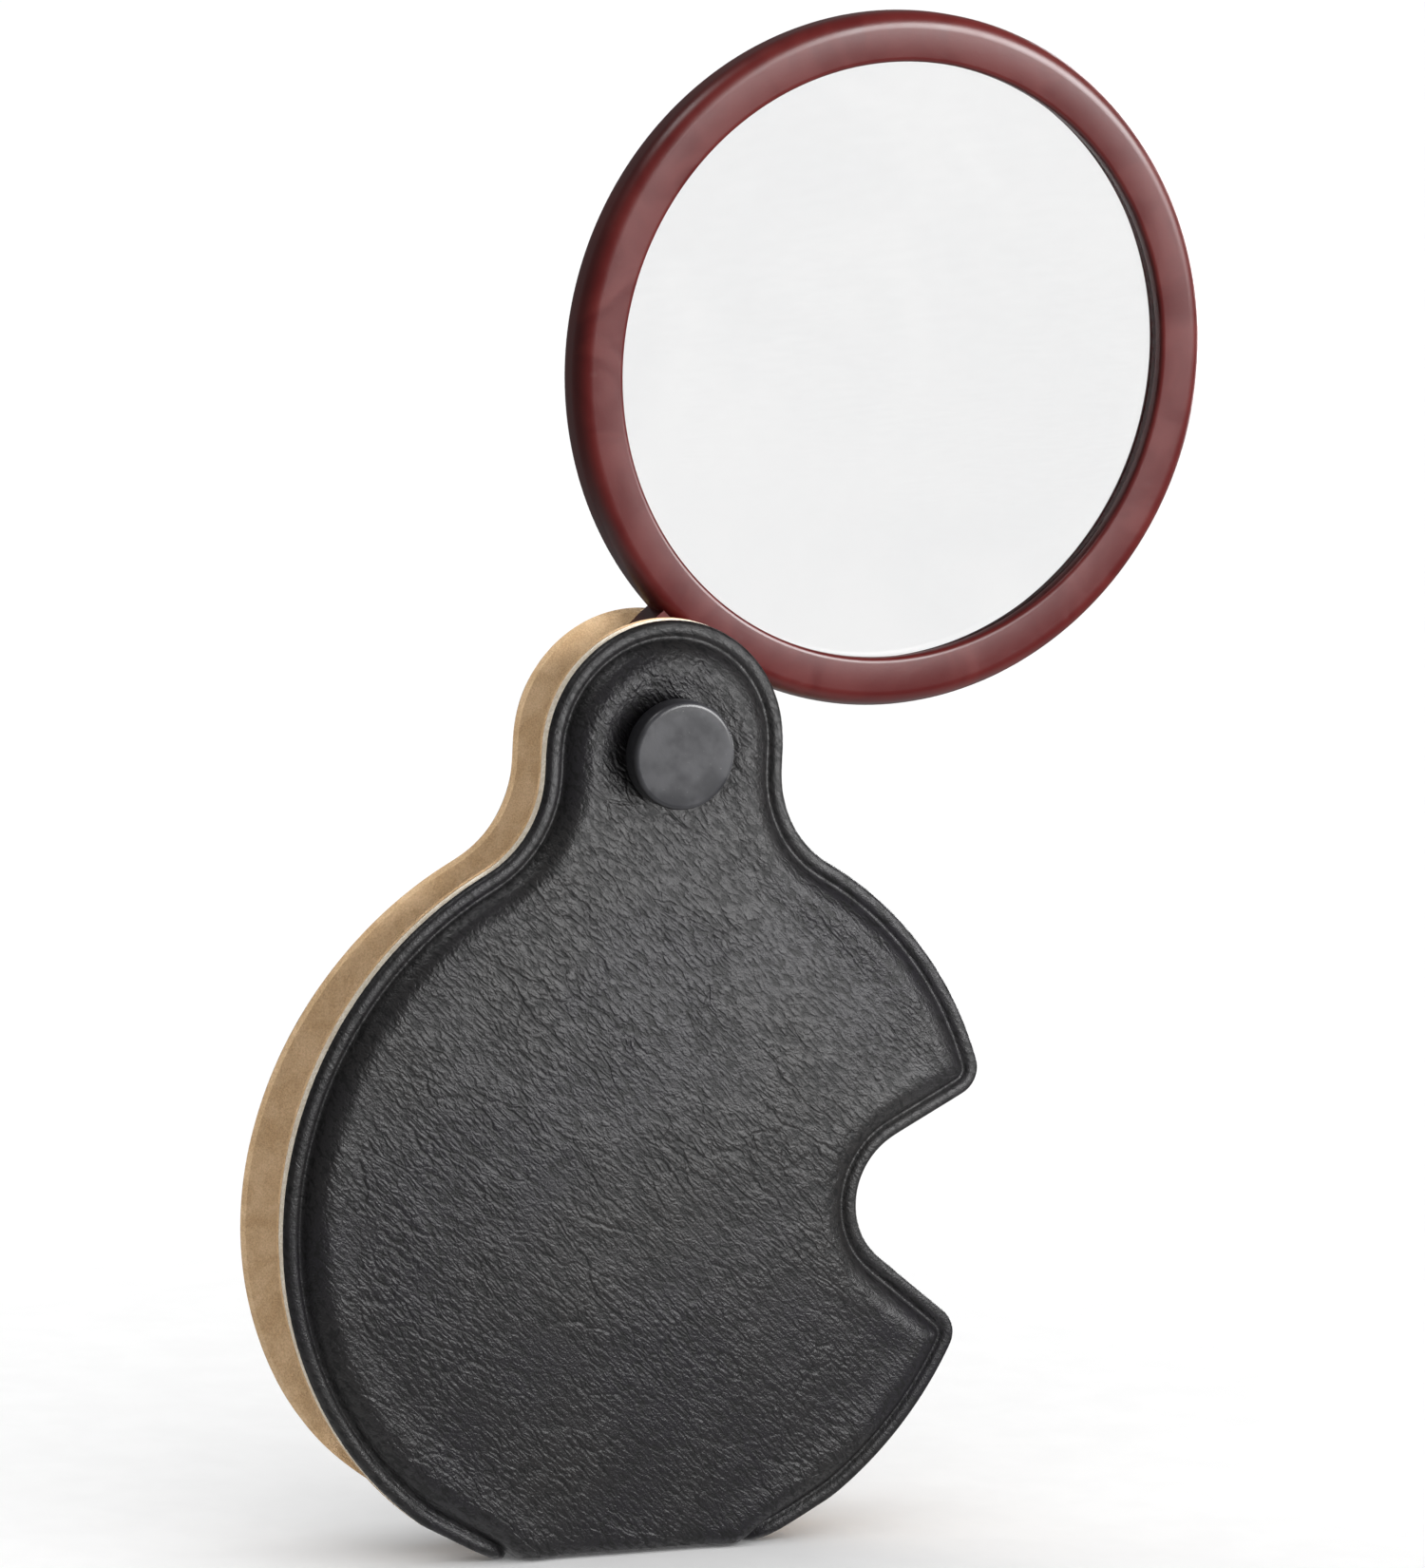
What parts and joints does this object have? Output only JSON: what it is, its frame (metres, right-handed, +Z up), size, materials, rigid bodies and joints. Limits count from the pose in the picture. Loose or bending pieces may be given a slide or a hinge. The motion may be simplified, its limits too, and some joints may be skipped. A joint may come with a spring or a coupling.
{
  "type": "folding pocket magnifying glass",
  "caption": "Pocket magnifying glass: a round framed lens that swings on a snap rivet out of a folded two-leaf leather-look case with a thumb notch.",
  "frame": {"origin": "centre of the closed lens, on the middle plane between the two case leaves, which is where a hand holds the case", "axes": "+Z up the case from its bottom fold to its rivet, -Y out of the front leaf, +X to the side with the thumb notch"},
  "size_m": [0.0795, 0.0167, 0.1251],
  "materials": {
    "burgundy_plastic": "satin moulded, dark red-brown",
    "clear_glass": "polished clear glass",
    "black_leather": "matt black leather-look sheet with a fine wrinkled grain",
    "tan_suede": "brushed tan suede cloth",
    "cream_board": "bare cut edge of stiff fibreboard",
    "grey_foam": "soft foam sheet",
    "black_cap": "satin black lacquer",
    "plain_steel": "plain drawn steel",
    "bush_brass": "plain drawn brass",
    "white_nylon": "natural nylon"
  },
  "bodies": {
    "case": {"front_lining": "tan_suede", "front_board": "cream_board", "front_pad": "grey_foam", "front_leather": "black_leather", "rear_lining": "tan_suede", "rear_board": "cream_board", "rear_pad": "grey_foam", "rear_leather": "black_leather", "fold_lining": "tan_suede", "fold_leather": "black_leather", "front_cap": "black_cap", "front_stud": "plain_steel", "front_washer": "white_nylon", "rear_washer": "white_nylon", "rear_socket": "plain_steel", "rear_cap": "black_cap"},
    "lens": {"glass_lens": "clear_glass", "lens_frame": "burgundy_plastic", "retaining_ring": "burgundy_plastic", "pivot_bush": "bush_brass"}
  },
  "joints": [
    {"name": "lens_swing", "type": "hinge", "parent": "case", "child": "lens", "pos_m": [0, 0, 0.03665], "axis": [0, -1, 0], "range_deg": [-147, 33]}
  ]
}
